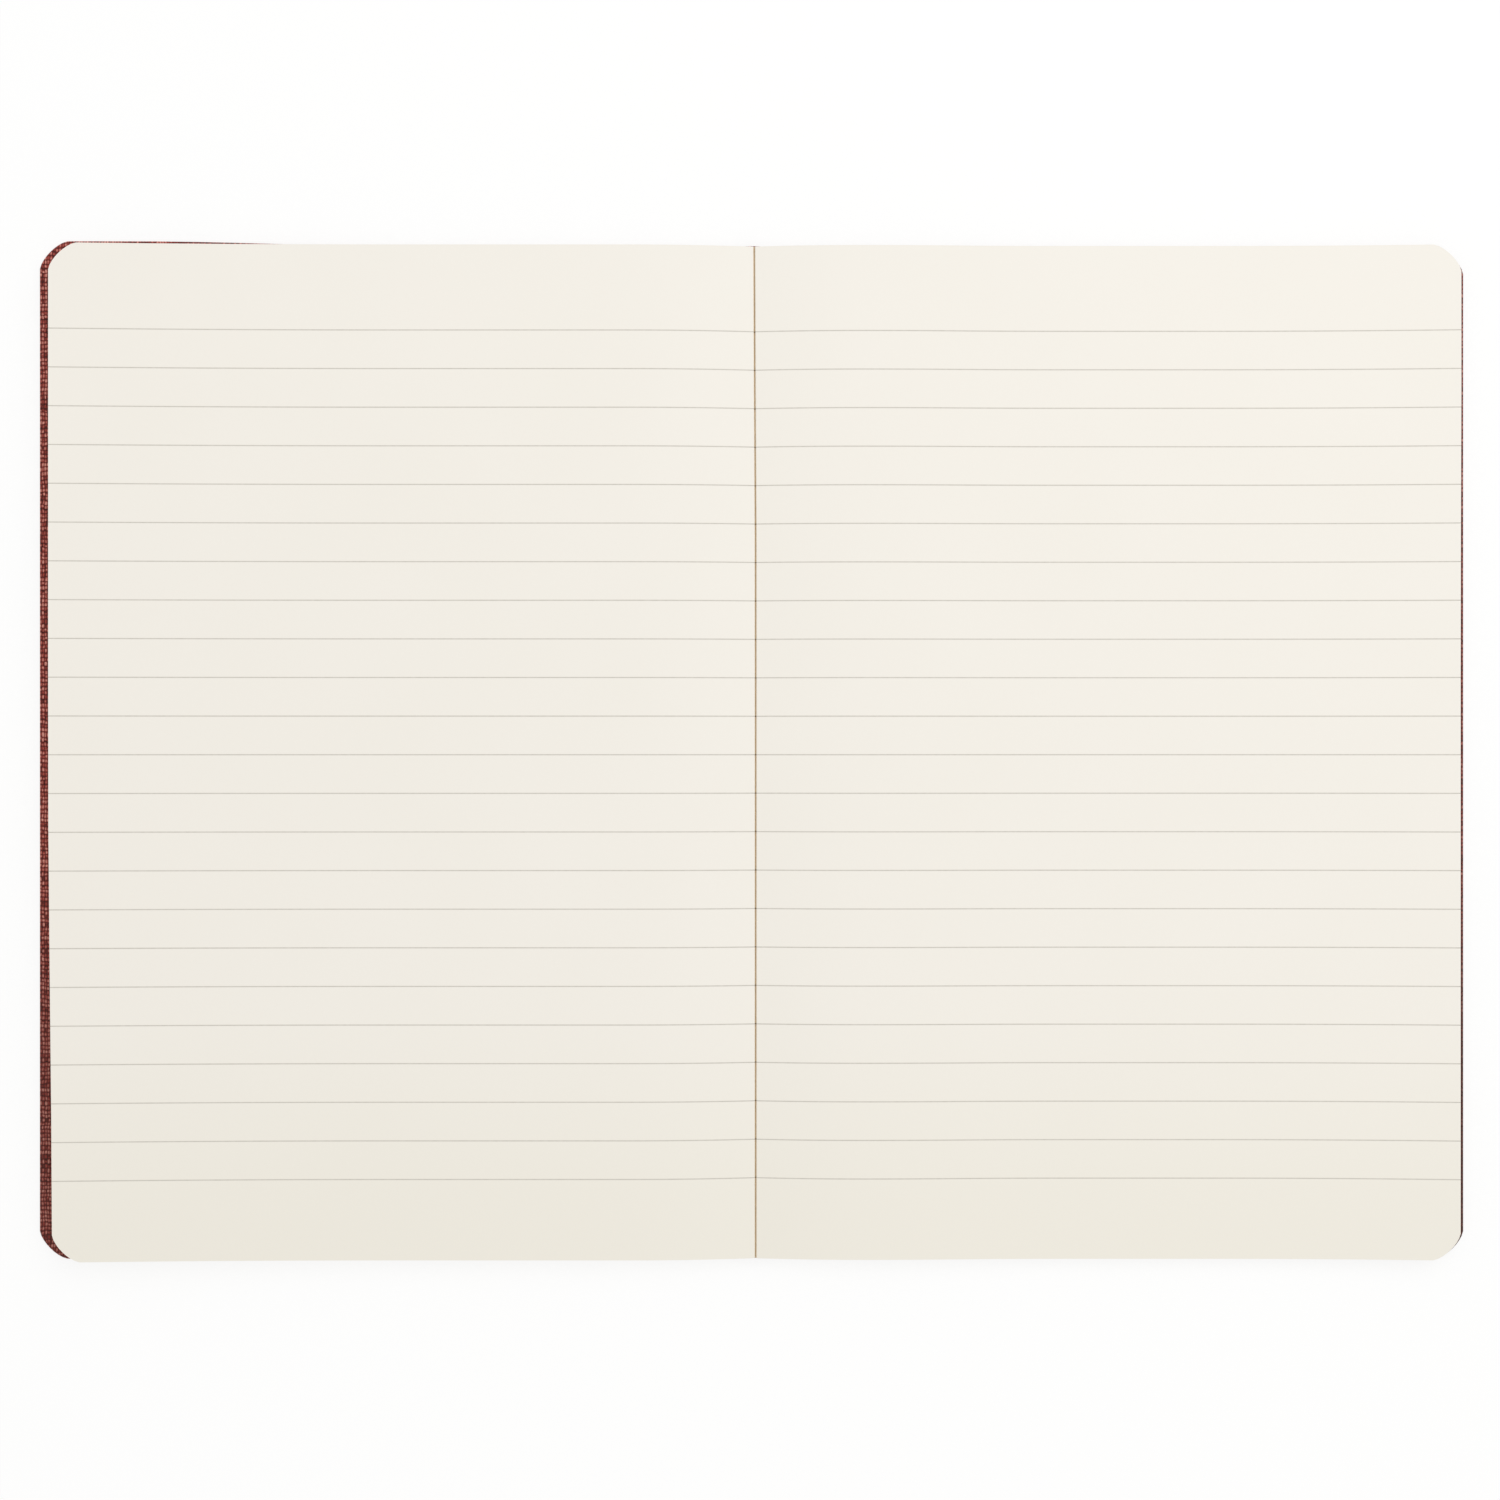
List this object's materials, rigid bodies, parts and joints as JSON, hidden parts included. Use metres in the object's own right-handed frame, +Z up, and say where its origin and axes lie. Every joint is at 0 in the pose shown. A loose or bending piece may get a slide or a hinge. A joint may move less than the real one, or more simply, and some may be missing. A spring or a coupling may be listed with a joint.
{
  "type": "open notebook",
  "caption": "Open notebook lying flat: rounded-corner block of ruled cream leaves bound to a flexible cloth-covered cover whose two panels fold at the spine.",
  "frame": {"origin": "on the table, under the middle of the spine, at the centre of the open covers' outline", "axes": "+X across the spread to the right-hand page's fore edge, +Y up the page to the head, +Z up from the table"},
  "size_m": [0.2968, 0.2122, 0.0076],
  "materials": {
    "cover_cloth": "matte red book cloth",
    "leaf_paper": "matte uncoated ruled paper"
  },
  "bodies": {
    "book_block": {"pages": "leaf_paper", "spine": "cover_cloth"},
    "front_cover": {"front_cover": "cover_cloth"},
    "back_cover": {"back_cover": "cover_cloth"}
  },
  "joints": [
    {"name": "front_cover_fold", "type": "hinge", "parent": "book_block", "child": "front_cover", "pos_m": [-0.004, 0, 0], "axis": [0, -1, 0], "range_deg": [0, 90]},
    {"name": "back_cover_fold", "type": "hinge", "parent": "book_block", "child": "back_cover", "pos_m": [0.004, 0, 0], "axis": [0, 1, 0], "range_deg": [0, 90]}
  ]
}
